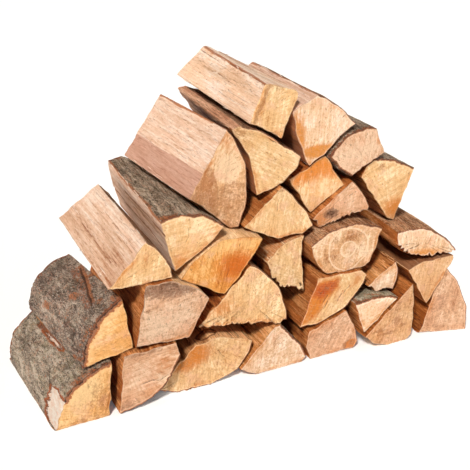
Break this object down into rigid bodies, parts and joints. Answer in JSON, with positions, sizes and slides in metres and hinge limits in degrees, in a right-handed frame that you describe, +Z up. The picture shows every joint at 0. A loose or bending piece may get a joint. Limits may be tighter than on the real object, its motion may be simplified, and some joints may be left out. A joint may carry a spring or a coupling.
{
  "type": "stack of split holm oak firewood",
  "caption": "Hand-stacked heap of split firewood: quarter and half-round logs lying side by side in rows that step in to a narrow top, sawn ends to the front, bark on the round sides.",
  "frame": {"origin": "on the ground, under the middle of the stack's box", "axes": "+X along the stack's width, +Y in along the logs from their front ends, +Z up"},
  "size_m": [0.9676, 0.4186, 0.603],
  "materials": {
    "barked_oak": "rough grey bark",
    "pale_oak": "sawn and split, dry",
    "peach_oak": "sawn and split, dry",
    "amber_oak": "sawn and split, dry",
    "orange_oak": "sawn and split, dry",
    "pink_oak": "sawn and split, dry"
  },
  "bodies": {
    "root": {"bottom_row_log_1": "barked_oak", "bottom_row_log_2": "peach_oak", "bottom_row_log_3": "pale_oak", "bottom_row_log_4": "pale_oak", "bottom_row_log_5": "pink_oak", "bottom_row_log_6": "pale_oak", "bottom_row_log_7": "peach_oak", "bottom_row_log_8": "pink_oak", "second_row_log_1": "barked_oak", "second_row_log_2": "pink_oak", "second_row_log_3": "peach_oak", "second_row_log_4": "orange_oak", "second_row_log_5": "pale_oak", "second_row_log_6": "peach_oak", "third_row_log_1": "amber_oak", "third_row_log_2": "orange_oak", "third_row_log_3": "peach_oak", "third_row_log_4": "pink_oak", "third_row_log_5": "pale_oak", "fourth_row_log_1": "amber_oak", "fourth_row_log_2": "pale_oak", "fourth_row_log_3": "pink_oak", "fourth_row_log_4": "pale_oak", "fifth_row_log_1": "peach_oak", "fifth_row_log_2": "peach_oak", "fifth_row_log_3": "orange_oak", "fifth_row_log_4": "pink_oak", "top_row_log_1": "peach_oak", "top_row_log_2": "amber_oak"}
  },
  "joints": []
}
